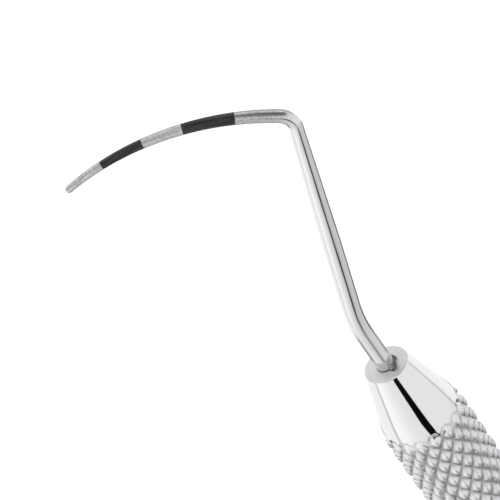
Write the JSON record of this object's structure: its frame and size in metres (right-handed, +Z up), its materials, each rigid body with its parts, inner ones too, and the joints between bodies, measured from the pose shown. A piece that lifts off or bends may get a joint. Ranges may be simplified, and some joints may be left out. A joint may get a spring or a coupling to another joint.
{
  "type": "periodontal probe",
  "caption": "Double-ended furcation probe: knurled steel handle with conical noses and hooked, tapered tips carrying black depth bands.",
  "frame": {"origin": "under the middle of the handle, on the surface the probe lies on", "axes": "+X along the handle towards end a, +Z up; end a's hook reaches towards +Y and end b's towards -Y"},
  "size_m": [0.1764, 0.0204, 0.006],
  "materials": {
    "handle_steel": "polished stainless steel, knurled grips",
    "wire_steel": "polished shank, satin blasted tip",
    "black_coat": "thin satin black coat in a shallow recess"
  },
  "bodies": {
    "root": {"handle": "handle_steel", "working_end_a": "wire_steel", "working_end_b": "wire_steel", "mark_3_6_a": "black_coat", "mark_9_12_a": "black_coat", "mark_3_6_b": "black_coat", "mark_9_12_b": "black_coat"}
  },
  "joints": []
}
